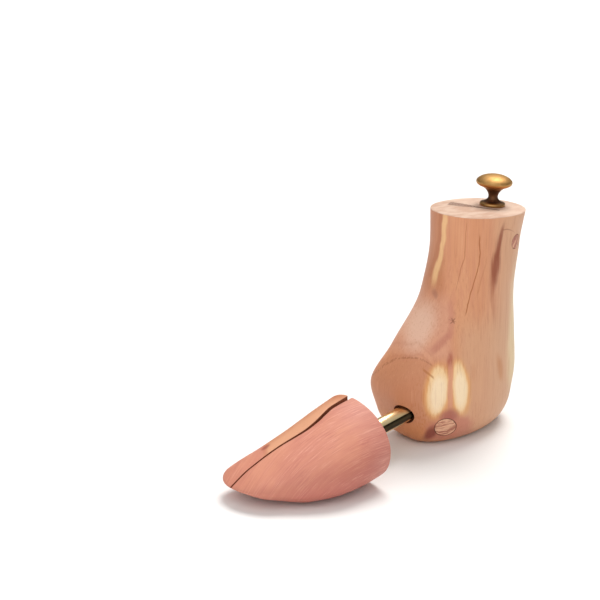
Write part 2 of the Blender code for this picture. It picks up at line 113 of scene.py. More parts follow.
# Tube.
MOUTH = (53, 0, 28.8)
DIP = math.radians(6)
TUBE_R = 6.5
TUBE_BORE_R = 5.5
SPRING_R = 4.4
SPRING_WIRE = 0.55
TUBE_BACK = -53
TUBE_FRONT = 65
GUIDE_R = 6.58
MOUTH_R = 8.3
MOUTH_DEPTH = 13
TRAVEL = 24
ANCHOR_U = -43
ANCHOR_HOLE_R = 1.7
ANCHOR_HOLE_Z = (-45, 16.5)
SLOT_HALF = 1.75
SPRING_BACK = -36.7
SPRING_FRONT = 16
TOE_TRAVEL = 6

# Spreader.
CONE_BACK = 68
CONE_FRONT = 80
CONE_R = 6.0
CONE_SLOPE = math.tan(math.radians(15))
CONE_PLAY = 0.6
RELIEF_SIDE = 2.4
ROD_END = 100
BOSS_BACK = 93
RETURN_SPRING_R = 2.85
RETURN_WIRE = 0.45

# Hinge stack.
KNUCKLE_R = 2.2
LEFT_LEAF_Z = (17.6, 22.6)
BAR_Z = (12.9, 17.3)
RIGHT_LEAF_Z = (7.6, 12.6)
LEAF_LENGTH = 24
LEAF_FACES = (0.8, 2.0)
SCREW_PLACES = (10, 19)
SCREW_LENGTH = 12
PILOT_R = 1.3
CHANNEL_OPENS = 6.2
RECESS_OPENS = 1.5

# Knob, nut and plugs.
KNOB_BEHIND = 15.8
STUD_HOLE_R = 2.2
NUT_DEPTH = 22.3
NUT_HALF = 8
NUT_HOLE_R = 5.85
PLUG_R = 5.55
PATCH_X = 30.5
PATCH_ANGLE = math.radians(-32)
PATCH_R = 7.75
PATCH_HOLE_R = 8.0
PATCH_FLOOR = 15
OUTSIDE = 45  # far enough along a bore's axis to be clear of the wood


def smooth(xs, ys, x):
    """The value at x of a curve through the stations that never overshoots them."""
    last = len(xs) - 1
    step = [xs[i + 1] - xs[i] for i in range(last)]
    rise = [(ys[i + 1] - ys[i]) / step[i] for i in range(last)]
    slope = [rise[0]] + [0.0] * (last - 1) + [rise[-1]]
    for i in range(1, last):
        if rise[i - 1] * rise[i] > 0:
            before, after = 2 * step[i] + step[i - 1], step[i] + 2 * step[i - 1]
            slope[i] = (before + after) / (before / rise[i - 1] + after / rise[i])
    i = min(max(sum(value <= x for value in xs) - 1, 0), last - 1)
    t = (x - xs[i]) / step[i]
    start = ys[i] * (1 + 2 * t) * (1 - t) ** 2 + step[i] * slope[i] * t * (1 - t) ** 2
    end = ys[i + 1] * t * t * (3 - 2 * t) + step[i] * slope[i + 1] * t * t * (t - 1)
    return start + end


def rounded(value, power):
    return math.copysign(abs(value) ** (2 / power), value)


# ---------------------------------------------------------------- meshes


def link_mesh(name, bm, look=None, sharp=32):
    bmesh.ops.recalc_face_normals(bm, faces=bm.faces)
    mesh = bpy.data.meshes.new(name)
    bm.to_mesh(mesh)
    bm.free()
    return link(name, mesh, look, sharp)


def link(name, mesh, look=None, sharp=32):
    obj = bpy.data.objects.new(name, mesh)
    if look:
        mesh.materials.append(look)
    mesh.shade_smooth()
    mesh.set_sharp_from_angle(angle=math.radians(sharp))
    bpy.context.scene.collection.objects.link(obj)
    return obj


def loft(name, rings, look=None):
    """A skin through rings of points in millimetres, closed flat at both ends."""
    bm = bmesh.new()
    rows = [[bm.verts.new(Vector(point) * MM) for point in ring] for ring in rings]
    count = len(rows[0])
    for lower, upper in zip(rows, rows[1:]):
        for k in range(count):
            after = (k + 1) % count
            bm.faces.new((lower[k], lower[after], upper[after], upper[k]))
    bm.faces.new(rows[0])
    bm.faces.new(rows[-1])
    return link_mesh(name, bm, look)


def lathe(name, profile, look=None, steps=96, sharp=40):
    """Turns a closed profile of (radius, height) about Z. Points on the axis are shared by all steps."""
    bm = bmesh.new()
    rows = []
    for radius, height in profile:
        if radius < 1e-6:
            rows.append([bm.verts.new((0, 0, height * MM))] * steps)
            continue
        ring = []
        for k in range(steps):
            turn = 2 * math.pi * k / steps
            ring.append(bm.verts.new(Vector((radius * math.cos(turn), radius * math.sin(turn), height)) * MM))
        rows.append(ring)
    pairs = list(zip(rows, rows[1:]))
    if profile[0][0] > 0 and profile[-1][0] > 0:
        pairs.append((rows[-1], rows[0]))
    for upper, lower in pairs:
        for k in range(steps):
            after = (k + 1) % steps
            corners = dict.fromkeys((upper[k], upper[after], lower[after], lower[k]))
            if len(corners) > 2:
                bm.faces.new(list(corners))
    return link_mesh(name, bm, look, sharp)


def eased(points, amount=0.35, steps=3):
    """Softens the corners of a profile by replacing each with a short curve."""
    result = [points[0]]
    for before, corner, after in zip(points, points[1:], points[2:]):
        b, c, a = Vector(before), Vector(corner), Vector(after)
        start = c + (b - c).normalized() * min(amount, (b - c).length / 2.2)
        end = c + (a - c).normalized() * min(amount, (a - c).length / 2.2)
        for k in range(steps + 1):
            t = k / steps
            point = start * (1 - t) ** 2 + c * 2 * t * (1 - t) + end * t * t
            result.append(tuple(point))
    result.append(points[-1])
    return result


def through(points, per_span=5):
    """A fair curve through profile points."""
    result = []
    for i in range(len(points) - 1):
        p0 = Vector(points[max(i - 1, 0)])
        p1, p2 = Vector(points[i]), Vector(points[i + 1])
        p3 = Vector(points[min(i + 2, len(points) - 1)])
        for k in range(per_span):
            t = k / per_span
            a = 2 * p1 + (p2 - p0) * t + (2 * p0 - 5 * p1 + 4 * p2 - p3) * t * t
            point = (a + (3 * p1 - p0 - 3 * p2 + p3) * t ** 3) / 2
            result.append((max(point.x, 0), point.y))
    result.append(tuple(points[-1]))
    return result


def rod_cutter(radius, low, high, matrix, end_radius=None, steps=64):
    bm = bmesh.new()
    bmesh.ops.create_cone(
        bm, cap_ends=True, segments=steps, radius1=radius * MM,
        radius2=(radius if end_radius is None else end_radius) * MM, depth=(high - low) * MM,
        matrix=matrix @ Matrix.Translation((0, 0, (low + high) / 2 * MM)),
    )
    return link_mesh("cutter", bm)


def box_cutter(low, high, matrix):
    bm = bmesh.new()
    bmesh.ops.create_cube(bm, size=1)
    bmesh.ops.scale(bm, vec=[(high[k] - low[k]) * MM for k in range(3)], verts=bm.verts)
    bmesh.ops.translate(bm, vec=[(high[k] + low[k]) / 2 * MM for k in range(3)], verts=bm.verts)
    bmesh.ops.transform(bm, matrix=matrix, verts=bm.verts)
    return link_mesh("cutter", bm)


def prism_cutter(outline, low, high, matrix):
    bm = bmesh.new()
    base = bm.faces.new([bm.verts.new((x * MM, y * MM, low * MM)) for x, y in outline])
    made = bmesh.ops.extrude_face_region(bm, geom=[base])
    top = [item for item in made["geom"] if isinstance(item, bmesh.types.BMVert)]
    bmesh.ops.translate(bm, vec=(0, 0, (high - low) * MM), verts=top)
    bmesh.ops.transform(bm, matrix=matrix, verts=bm.verts)
    return link_mesh("cutter", bm)


def carve(obj, cutters, operation="DIFFERENCE", sharp=32, inside=None):
    """Cuts the shapes from obj for good, and throws them away. The new faces get the inside look."""
    for cutter in cutters:
        if inside:
            cutter.data.materials.append(inside)
        modifier = obj.modifiers.new("cut", "BOOLEAN")
        modifier.material_mode = "TRANSFER"
        modifier.operation = operation
        modifier.solver = "EXACT"
        modifier.object = cutter
    graph = bpy.context.evaluated_depsgraph_get()
    mesh = bpy.data.meshes.new_from_object(obj.evaluated_get(graph))
    obj.modifiers.clear()
    obj.data = mesh
    mesh.shade_smooth()
    mesh.set_sharp_from_angle(angle=math.radians(sharp))
    for cutter in cutters:
        bpy.data.objects.remove(cutter)
    return obj


# ---------------------------------------------------------------- places

TUBE_AXIS = Matrix.Translation(Vector(MOUTH) * MM) @ Matrix.Rotation(DIP, 4, "Y")
ALONG_TUBE = TUBE_AXIS @ Matrix.Rotation(math.pi / 2, 4, "Y")
HINGE = Matrix.Translation((HINGE_X * MM, HINGE_Y * MM, 0)) @ Matrix.Rotation(CUT_ANGLE, 4, "Z")
TOP_MIDDLE = (HEEL_BACK[-1] + HEEL_FRONT[-1]) / 2
KNOB_PLACE = Vector((
    TOP_MIDDLE - KNOB_BEHIND * math.cos(TOP_TILT), 0, HEEL_LEVELS[-1] - KNOB_BEHIND * math.sin(TOP_TILT)
))
KNOB_AXIS = Matrix.Translation(KNOB_PLACE * MM) @ Matrix.Rotation(-TOP_TILT, 4, "Y")
KNOB_AXIS = KNOB_AXIS @ Matrix.Rotation(TOP_LEAN, 4, "X")
KNOB_UP = KNOB_AXIS.to_3x3() @ Vector((0, 0, 1))
NUT_AXIS = KNOB_AXIS @ Matrix.Translation((0, 0, -NUT_DEPTH * MM)) @ Matrix.Rotation(-math.pi / 2, 4, "X")
PATCH_CENTRE = Vector((PATCH_X, 0, MOUTH[2] + math.tan(DIP) * (MOUTH[0] - PATCH_X)))
PATCH_AXIS = Matrix.Translation(PATCH_CENTRE * MM) @ Matrix.Rotation(PATCH_ANGLE - math.pi / 2, 4, "X")


# ---------------------------------------------------------------- shader nodes


class Value:
    """A node's output socket that can be used in sums."""

    def __init__(self, shader, socket):
        self.shader = shader
        self.socket = socket

    def sum(self, operation, *others):
        return self.shader.node("ShaderNodeMath", {"operation": operation}, *[self, *others])

    def __add__(self, other):
        return self.sum("ADD", other)

    __radd__ = __add__

    def __sub__(self, other):
        return self.sum("SUBTRACT", other)

    def __rsub__(self, other):
        return self.shader.node("ShaderNodeMath", {"operation": "SUBTRACT"}, other, self)

    def __mul__(self, other):
        return self.sum("MULTIPLY", other)

    __rmul__ = __mul__

    def __truediv__(self, other):
        return self.sum("DIVIDE", other)

    def __pow__(self, other):
        return self.sum("POWER", other)

    def __abs__(self):
        return self.sum("ABSOLUTE")

    def most(self, other):
        return self.sum("MAXIMUM", other)

    def sine(self):
        return self.sum("SINE")


class Shader:
    """One material's node tree, with its places in millimetres."""

    def __init__(self, name):
        self.material = bpy.data.materials.new(name)
        self.material.use_nodes = True
        self.tree = self.material.node_tree
        self.surface = self.tree.nodes["Principled BSDF"]
        coordinates = self.tree.nodes.new("ShaderNodeTexCoord")
        self.place = self.scaled(Value(self, coordinates.outputs["Object"]), (1000, 1000, 1000))
        parts = self.tree.nodes.new("ShaderNodeSeparateXYZ")
        self.tree.links.new(self.place.socket, parts.inputs[0])
        self.x, self.y, self.z = (Value(self, parts.outputs[k]) for k in range(3))

    def node(self, kind, settings, *inputs, output=0, **named):
        made = self.tree.nodes.new(kind)
        for key, value in settings.items():
            setattr(made, key, value)
        sockets = list(enumerate(inputs)) + list(named.items())
        for key, value in sockets:
            key = key.replace("_", " ") if isinstance(key, str) else key
            if isinstance(value, Value):
                self.tree.links.new(value.socket, made.inputs[key])
            elif value is not None:
                made.inputs[key].default_value = value
        return Value(self, made.outputs[output])

    def scaled(self, vector, scale):
        return self.node("ShaderNodeVectorMath", {"operation": "MULTIPLY"}, vector, scale)

    def moved(self, vector, offset):
        return self.node("ShaderNodeVectorMath", {"operation": "ADD"}, vector, offset)

    def length(self, vector):
        return self.node("ShaderNodeVectorMath", {"operation": "LENGTH"}, vector, output=1)

    def noise(self, vector, scale, detail=3.0, roughness=0.5, distortion=0.0):
        return self.node(
            "ShaderNodeTexNoise", {}, Vector=vector, Scale=scale, Detail=detail, Roughness=roughness,
            Distortion=distortion,
        )

    def step(self, value, low, high):
        """0 below low, 1 above high and an eased step between; low may be the larger."""
        return self.node(
            "ShaderNodeMapRange", {"interpolation_type": "SMOOTHSTEP"}, value, low, high, 0.0, 1.0
        )

    def mix(self, share, first, second):
        first, second = ((*c, 1) if isinstance(c, tuple) and len(c) == 3 else c for c in (first, second))
        made = self.tree.nodes.new("ShaderNodeMix")
        made.data_type = "RGBA"
        for index, value in ((0, share), (6, first), (7, second)):
            if isinstance(value, Value):
                self.tree.links.new(value.socket, made.inputs[index])
            else:
                made.inputs[index].default_value = value
        return Value(self, made.outputs[2])

    def vector(self, x, y, z):
        return self.node("ShaderNodeCombineXYZ", {}, x, y, z)

    def along(self, direction):
        """How far the place lies in a direction."""
        x, y, z = direction
        return self.x * x + self.y * y + self.z * z

    def from_axis(self, matrix):
        """Distance from the Z axis of a frame."""
        direction = (matrix.to_3x3() @ Vector((0, 0, 1))).normalized()
        origin = matrix.translation / MM
        offset = self.moved(self.place, tuple(-origin))
        crossed = self.node("ShaderNodeVectorMath", {"operation": "CROSS_PRODUCT"}, offset, tuple(direction))
        return self.length(crossed)

    def spot(self, u, v, centre, radii, lean, edge, uneven):
        """1 inside an oval on the flank, which leans over as it rises."""
        side = (u - centre[0] - (v - centre[1]) * lean) / radii[0]
        up = (v - centre[1]) / radii[1]
        reach = (side * side + up * up) ** 0.5 + uneven
        return self.step(reach, 1 + edge, 1 - edge)

    def patch(self, centre, radii, edge=0.25, wobble=None, size=0.2):
        """1 inside an egg-shaped region round centre, 0 outside, with a soft and uneven edge."""
        offset = self.moved(self.place, tuple(-value for value in centre))
        reach = self.length(self.scaled(offset, tuple(1 / value for value in radii)))
        if wobble is not None:
            reach = reach + (wobble - 0.5) * size
        return self.step(reach, 1 + edge, 1 - edge)

    def bump(self, height, strength, distance, under=None):
        return self.node(
            "ShaderNodeBump", {}, Strength=strength, Distance=distance, Height=height, Normal=under
        )

    def finish(self, colour, roughness, normal=None, metallic=0.0, specular=0.5):
        links = {"Base Color": colour, "Roughness": roughness, "Normal": normal, "Metallic": metallic}
        for name, value in links.items():
            if isinstance(value, Value):
                self.tree.links.new(value.socket, self.surface.inputs[name])
            elif value is not None:
                self.surface.inputs[name].default_value = (*value, 1) if isinstance(value, tuple) else value
        self.surface.inputs["Specular IOR Level"].default_value = specular
        return self.material


def tone(red, green, blue):
    """A linear colour from the 0 to 255 values of a paint card."""
    def linear(value):
        value /= 255
        return value / 12.92 if value <= 0.04045 else ((value + 0.055) / 1.055) ** 2.4
    return (linear(red), linear(green), linear(blue))


# ---------------------------------------------------------------- finishes

CEDAR_TAN = tone(206, 142, 104)
CEDAR_PEACH = tone(212, 152, 114)
CEDAR_ROSE = tone(200, 134, 104)
CEDAR_BEIGE = tone(208, 162, 128)
TOE_PEACH = tone(208, 142, 116)
TOE_ROSE = tone(197, 127, 111)
TOE_WINE = tone(187, 112, 99)
TOE_DUSK = tone(198, 136, 124)


# Directions on the wood: ACROSS runs level over the outer flank from the toe side to the heel, OUT points
# away from the flank, and RISE slants up across the growth rings.
ACROSS = (-0.7357, 0.6773, 0)
OUT = (0.6773, 0.7357, 0)
RISE = (-0.2482, -0.2696, 0.9305)


def grain(s, scale, seed, detail=4.0, roughness=0.6):
    """Fine fibres, long in the direction whose scale is small."""
    place = s.moved(s.place, (seed, seed * 0.7, seed * 1.3))
    return s.noise(s.scaled(place, scale), 1.0, detail, roughness)


def block_wood():
    s = Shader("cedar_block")
    u, z, out = s.along(ACROSS), s.z, s.along(OUT)
    wobble = s.noise(s.scaled(s.place, (0.09, 0.09, 0.05)), 1.0, 3.0)
    broad = s.noise(s.scaled(s.place, (0.05, 0.05, 0.014)), 1.0, 3.0)
    fibres = grain(s, (0.9, 0.9, 0.022), 3.0)
    fine = grain(s, (3.2, 3.2, 0.09), 11.0, 3.0)
    bands = grain(s, (0.28, 0.28, 0.010), 23.0, 2.0)
    outer = s.step(out, -4, 8)
    u = u + (wobble - 0.5) * 4

    def spot(centre, radii, lean=0.0, edge=0.35, size=0.5):
        return s.spot(u, z, centre, radii, lean, edge, (fibres - 0.5) * size) * outer

    def stroke(middle, half_width, low, high, fade=5.0):
        """A line that follows the fibres up between two heights."""
        ends = s.step(z, low, low + fade) * s.step(z, high, high - fade)
        return s.step(abs(u - middle), half_width * 1.5, half_width * 0.5) * ends * outer

    colour = s.mix(s.step(broad, 0.3, 0.7), CEDAR_TAN, CEDAR_PEACH)
    colour = s.mix(s.step(bands, 0.46, 0.62) * 0.4, colour, CEDAR_ROSE)
    colour = s.mix(s.step(u, 18, 38) * 0.75, colour, CEDAR_BEIGE)
    colour = s.mix(s.step(z, 112, 84) * s.step(u, -6, 8) * 0.6, colour, CEDAR_BEIGE)
    # The narrow front of the leg is browner, and the instep is pale and pinkish.
    colour = s.mix(s.step(u, -8, -15) * s.step(z, 100, 128) * 0.75, colour, tone(186, 122, 86))
    instep = s.step(u, 0, -9) * s.step(z, 128, 108) * s.step(z, 68, 80)
    colour = s.mix(instep * 0.65, colour, tone(212, 156, 130))
    colour = s.mix(spot((-28, 95), (9, 15), 0.4, 0.6) * 0.7, colour, tone(230, 194, 172))
    # Arched rings close the instep above the toe-side face.
    arch = z - 74.3 + (u + 31) * (u + 31) * 0.022 + (wobble - 0.5) * 5
    below = s.step(arch, 1.2, -1.2) * s.step(u, -12, -19)
    colour = s.mix(below * 0.85, colour, tone(199, 137, 102))
    arches = (arch * 0.9 + (wobble - 0.5) * 5).sine() * 0.5 + 0.5
    above = s.step(arch, -2, 1) * s.step(arch, 15, 4) * s.step(u, -12, -22) * outer
    colour = s.mix(arches ** 4.0 * above * 0.3, colour, tone(176, 108, 78))
    rim = s.step(abs(arch), 1.1, 0.3) * s.step(u, -17, -21) * s.step(fibres, 0.38, 0.55)
    colour = s.mix(rim * 0.45, colour, tone(142, 82, 56))
    lines = s.step(grain(s, (1.6, 1.6, 0.02), 31.0, 2.0), 0.5, 0.62) * spot((-27.5, 34), (7, 24), 0, 0.5)
    colour = s.mix(lines * 0.55, colour, tone(184, 108, 62))
    colour = s.mix(s.step(z, 30, 12) * s.step(u, -14, -22) * 0.7, colour, tone(206, 136, 86))

    # Dark heartwood streaks, and the small crack under the leg.
    slope = ((z - 95) - (u + 4.8) * 1.07) / 1.46
    reach = (u + 12.5) + (z - 87) * 1.07
    diagonal = s.step(abs(slope + (fibres - 0.5) * 4), 4.2, 0.8) * s.step(abs(reach), 19, 9) * outer
    colour = s.mix(diagonal * 0.65, colour, tone(186, 118, 98))
    down = s.step(abs(u + 5.6), 3.4, 0.8) * s.step(z, 86, 92) * s.step(z, 124, 108) * outer
    colour = s.mix(down * 0.45, colour, tone(194, 126, 104))
    for centre, radii, lean, strength, shade in (
        ((27.9, 139), (3.0, 18), 0.07, 0.9, tone(140, 66, 38)),
        ((31.0, 158), (1.6, 12), 0.16, 0.85, tone(138, 68, 40)),
        ((26.8, 114), (1.4, 17), -0.03, 0.4, tone(176, 106, 74)),
        ((-5.9, 69.5), (2.3, 9), 0.0, 0.8, tone(166, 88, 70)),
        ((-17.0, 119), (1.6, 3), 0.0, 0.45, tone(150, 98, 84)),
        ((35.0, 55), (2.4, 10), -0.2, 0.5, tone(192, 122, 66)),
        ((13.0, 60), (1.4, 7), 0.0, 0.25, tone(196, 132, 92)),
    ):
        colour = s.mix(spot(centre, radii, lean, 0.55, 1.2) * strength, colour, shade)
    wavy = 15.0 - (143 - z).most(0.0) * 0.276
    colour = s.mix(stroke(wavy, 0.42, 104, 168) * 0.75, colour, tone(158, 88, 44))
    colour = s.mix(stroke(4.7 - (150 - z).most(0.0) * 0.24, 0.3, 122, 178) * 0.5, colour, tone(160, 92, 56))
    colour = s.mix(stroke(wavy + 5.5, 0.5, 118, 150) * 0.25, colour, tone(170, 100, 60))
    bow = z - 167 + (u - 32.7) * (u - 32.7) * 0.058
    bow = s.step(abs(bow), 0.75, 0.25) * s.step(u, 31.5, 33.5) * s.step(u, 46, 43) * outer
    colour = s.mix(bow * 0.6, colour, tone(146, 88, 60))
    for turn in (0.55, -0.75, 3.2):
        leg = s.step(abs(u + 4.4 + (z - 102.2) * turn), 0.9, 0.25)
        leg = leg * s.step(abs(z - 102.2), 2.6, 1.2) * s.step(abs(u + 4.4), 3.4, 1.8) * outer
        colour = s.mix(leg * 0.5, colour, tone(120, 66, 44))

    # Cream sapwood: a stripe down the front of the leg, a pale back, and two eggs on the lower flank.
    middle = -11.2 - (160 - z).most(0.0) * 0.19
    colour = s.mix(stroke(middle - 3.2, 1.2, 126, 190) * 0.35, colour, tone(166, 100, 70))
    colour = s.mix(stroke(middle, 1.5, 119, 190, 14) * 0.85, colour, tone(232, 188, 136))
    uneven = (broad - 0.5) * 1.1 + (fibres - 0.5) * 0.6
    colour = s.mix(s.spot(u, z, (48, 75), (6.5, 48), 0.0, 0.55, uneven) * 0.7, colour, tone(226, 204, 160))
    for centre, radii, lean in (((-15.0, 49.5), (8.2, 19.8), 0.06), ((2.6, 50.3), (6.0, 20.8), -0.08)):
        wider = (radii[0] + 2.2, radii[1] + 2.4)
        halo = s.spot(u, z, centre, wider, lean, 0.22, (wobble - 0.5) * 0.3) * outer
        colour = s.mix(halo * 0.8, colour, tone(226, 168, 104))
        heart = s.spot(u, z, centre, radii, lean, 0.16, (fibres - 0.5) * 0.25) * outer
        colour = s.mix(heart * 0.97, colour, tone(240, 206, 158))
        inner, middle_of = tuple(r * 0.72 for r in radii), (centre[0] + 0.6, centre[1] - 2)
        core = s.spot(u, z, middle_of, inner, lean, 0.3, 0.0) * outer
        colour = s.mix(core * 0.8, colour, tone(248, 226, 192))
    between = s.step(abs(u + 5.2), 2.6, 1.2) * s.step(z, 32, 38) * s.step(z, 74, 66) * outer
    colour = s.mix(between * 0.75, colour, tone(214, 150, 122))
    short = s.step(abs(z - 64 + (u + 22) * 0.77), 1.5, 0.5) * s.step(abs(u + 22), 5.0, 3.0) * outer
    colour = s.mix(short * 0.6, colour, tone(176, 106, 56))
    # Wine-coloured wood round the patch.
    wine = s.step(z + abs(u + 4.5) * 0.55 + (wobble - 0.5) * 10, 34, 27)
    wine = wine * s.step(u, -26, -19) * s.step(u, 18, 8) * s.step(z, 2, 8) * outer
    colour = s.mix(wine * 0.75, colour, tone(192, 120, 102))
    colour = s.mix(spot((-5, 28), (6.5, 5.5), 0, 0.5) * 0.7, colour, tone(160, 90, 82))
    colour = s.mix(spot((-19, 13), (4.5, 7), 0.3, 0.5) * 0.85, colour, tone(128, 58, 46))
    # A dark ring round each plug: partly the glue line, partly painted shade in the gap round the plug.
    for matrix, radius in ((PATCH_AXIS, PATCH_HOLE_R), (NUT_AXIS, NUT_HOLE_R)):
        away = s.from_axis(matrix)
        colour = s.mix(s.step(abs(away - radius), 0.75, 0.2) * outer * 0.85, colour, tone(88, 50, 34))

    colour = s.mix(s.step(fibres, 0.52, 0.7) * 0.24, colour, tone(168, 100, 70))
    colour = s.mix(s.step(fibres, 0.42, 0.28) * 0.2, colour, tone(232, 186, 150))
    colour = s.mix(s.step(fine, 0.56, 0.75) * 0.16, colour, tone(140, 80, 56))
    # Inside the bores the wood is rough, and it is painted dark as painted shade in the hollow.
    bore_shade = s.step(s.from_axis(ALONG_TUBE), MOUTH_R + 0.05, MOUTH_R - 0.1) * s.step(s.x, 20, 30)
    colour = s.mix(bore_shade * 0.8, colour, tone(112, 62, 38))
    # End grain on the flat top.
    along = s.along(KNOB_UP) - KNOB_PLACE.dot(KNOB_UP)
    end = s.step(along, -0.9, -0.35)
    specks = s.noise(s.scaled(s.place, (1.1, 1.1, 1.1)), 1.0, 4.0, 0.7)
    rings = s.noise(s.scaled(s.place, (0.07, 0.2, 0.07)), 1.0, 3.0)
    top = s.mix(s.step(rings, 0.38, 0.62), tone(198, 162, 140), tone(212, 184, 164))
    # Painted highlight: a paler patch on the top towards the back.
    top = s.mix(s.step(s.x, -14, -26) * 0.4, top, tone(232, 204, 184))
    top = s.mix(s.step(specks, 0.55, 0.8) * 0.3, top, tone(176, 126, 100))
    colour = s.mix(end, colour, top)
    burn = burned_ornament(s) * end
    colour = s.mix(burn * 0.88, colour, tone(84, 48, 34))

    height = fibres * 0.6 + fine * 0.4 + specks * end * 0.5 - burn * 2.0
    roughness = 0.46 + (fibres - 0.5) * 0.2 + end * 0.2
    return s.finish(colour, roughness, s.bump(height, 0.22, 0.0004), specular=0.3)


def burned_ornament(s):
    """A plain burned border across the top: a row of small chevrons that tapers into a rule."""
    forward, side = s.x - (TOP_MIDDLE + 0.3), s.y + 4.0
    length = forward * -0.46 + side * 0.888
    width = forward * 0.888 + side * 0.46
    rough = s.noise(s.scaled(s.place, (1.1, 1.1, 1.1)), 1.0, 3.0, 0.7)
    half = 5.6 - s.step(length, -14, 7) * 4.5
    inside = s.step(abs(width) - half + (rough - 0.5) * 1.2, 0.35, -0.25)
    inside = inside * s.step(abs(length) + (rough - 0.5) * 2, 20.2, 19.2)
    chevrons = s.step(((length + abs(width) * 0.8) * 2.6).sine() + (rough - 0.5) * 1.6, -0.75, 0.1)
    return inside * chevrons.most(s.step(length, 0, 6))


def toe_wood(left):
    s = Shader("cedar_toe_left" if left else "cedar_toe_right")
    seed = 17.0 if left else 29.0
    wobble = s.noise(s.scaled(s.place, (0.06, 0.06, 0.06)), 1.0, 3.0)
    across, rise = s.along(ACROSS), s.along(RISE)
    clouds = s.noise(s.scaled(s.place, (0.028, 0.05, 0.05)), 1.0, 3.0)
    # Growth rings meet the surface in long slanting arcs, and the fibres lie along them.
    ringed = ((across + 27.8) * (across + 27.8) + (rise + 113) * (rise + 113)) ** 0.5
    around = (across + 27.8) / ringed
    spread = s.vector(ringed * 1.5, around * 9, s.along(OUT) * 0.06)
    strokes = s.noise(spread, 1.0, 3.0, 0.65)
    slow = s.noise(s.vector(ringed * 0.22, around * 2.5, s.along(OUT) * 0.02), 1.0, 2.0)
    dots = s.noise(s.scaled(s.moved(s.place, (seed, seed, seed)), (0.5, 0.9, 0.9)), 1.0, 3.0, 0.7)

    upper = s.step(s.z + (s.x - TOE_REAR) * 0.34 + (wobble - 0.5) * 18, 26, 62)
    colour = s.mix(upper, TOE_WINE, TOE_PEACH)
    middle = s.step(clouds, 0.42, 0.62)
    colour = s.mix(middle * 0.45, colour, TOE_ROSE)
    colour = s.mix(s.step(s.x, 138, 116) * 0.5, colour, TOE_DUSK)
    colour = s.mix(s.step(slow, 0.42, 0.6) * 0.3, colour, TOE_WINE)
    strength = 0.18 + s.step(clouds, 0.4, 0.6) * 0.22
    colour = s.mix(s.step(strokes, 0.52, 0.68) * strength, colour, tone(232, 176, 156))
    colour = s.mix(s.step(strokes, 0.46, 0.32) * strength, colour, tone(168, 98, 88))
    colour = s.mix(s.step(dots, 0.68, 0.8) * 0.3, colour, tone(160, 88, 80))
    if left:
        # Painted glints: small pale flecks on the upper part of the left half.
        painted_glints = s.step(dots, 0.32, 0.24) * s.step(s.z, 24, 36)
        colour = s.mix(painted_glints * 0.5, colour, tone(240, 196, 176))
    else:
        beyond = (s.x - TOE_REAR) * CUT_SLOPE + CUT_Y - s.y
        patch = s.step(s.x + (wobble - 0.5) * 6 + beyond * 0.5, 185, 178)
        inside = s.mix(s.step(beyond + (wobble - 0.5) * 8, 5, 16), tone(214, 158, 122), tone(192, 126, 86))
        colour = s.mix(patch * 0.85, colour, inside)
        border = s.step(abs(s.x + (wobble - 0.5) * 6 + beyond * 0.5 - 182), 3.0, 0.8)
        colour = s.mix(border * 0.35, colour, tone(176, 104, 78))
        knot = s.patch((175.5, -20.5, 33.5), (3.6, 2.6, 3.0), 0.5, dots, 0.8)
        colour = s.mix(knot * 0.75, colour, tone(150, 74, 60))
        colour = s.mix(s.step(s.x, 124, 112) * 0.6, colour, tone(184, 116, 84))
    height = strokes * 0.6 + dots * 0.5
    return s.finish(colour, 0.52 + (strokes - 0.5) * 0.2, s.bump(height, 0.2, 0.0004), specular=0.28)


def sawn_and_shaded_wood():
    """The faces of the saw cut and the hollows behind them, darker than the outer wood: partly the rough sawn
    fibres, partly painted shade in the narrow cut and the hollows.
    """
    s = Shader("cedar_sawn_and_shaded")
    marks = s.noise(s.scaled(s.place, (1.6, 0.4, 0.08)), 1.0, 3.0, 0.6)
    colour = s.mix(s.step(marks, 0.35, 0.7), tone(150, 88, 62), tone(112, 62, 42))
    return s.finish(colour, 0.7, s.bump(marks, 0.3, 0.0004), specular=0.2)


def plug_wood():
    s = Shader("cedar_plug")
    wobble = s.noise(s.scaled(s.place, (0.12, 0.12, 0.12)), 1.0, 2.0)
    lines = s.along((0.52, 0.6, 0.6)) + (wobble - 0.5) * 7
    streaks = s.noise(s.vector(lines * 0.8, s.along((0.8, -0.4, -0.3)) * 0.05, s.z * 0.03), 1.0, 3.0, 0.6)
    colour = s.mix(s.step(streaks, 0.42, 0.6), tone(176, 112, 92), tone(226, 178, 146))
    colour = s.mix(s.step(streaks, 0.4, 0.3) * 0.6, colour, tone(132, 72, 56))
    return s.finish(colour, 0.55, s.bump(streaks, 0.35, 0.0004), specular=0.25)


def old_brass():
    s = Shader("old_brass")
    cloud = s.noise(s.place, 0.35, 4.0, 0.6)
    speck = s.noise(s.place, 2.2, 3.0, 0.6)
    offset = s.moved(s.place, tuple(-KNOB_PLACE))
    above = s.node("ShaderNodeVectorMath", {"operation": "DOT_PRODUCT"}, offset, tuple(KNOB_UP), output=1)
    crown = s.step(above + (cloud - 0.5) * 1.6, 16.6, 18.4)
    under = s.step(above + (cloud - 0.5) * 2, 11.5, 15.5)
    foot = s.step(above, 3.6, 2.8)
    # Painted reflections: the neck is painted dark brown for the dark surroundings it mirrors, and the
    # underside of the head orange for the wood it mirrors; the crown and foot keep the brass's own gold.
    colour = s.mix(s.step(cloud, 0.35, 0.7), tone(92, 60, 44), tone(112, 78, 52))
    colour = s.mix(under, colour, tone(188, 124, 66))
    brass_gold = s.mix(s.step(cloud, 0.3, 0.7), tone(190, 148, 92), tone(176, 134, 80))
    colour = s.mix(crown.most(foot * 0.8), colour, brass_gold)
    colour = s.mix(s.step(speck, 0.62, 0.78) * 0.25, colour, tone(120, 88, 52))
    roughness = 0.52 - foot * 0.16 + (speck - 0.5) * 0.14
    return s.finish(colour, roughness, s.bump(speck, 0.08, 0.0002), 1.0)


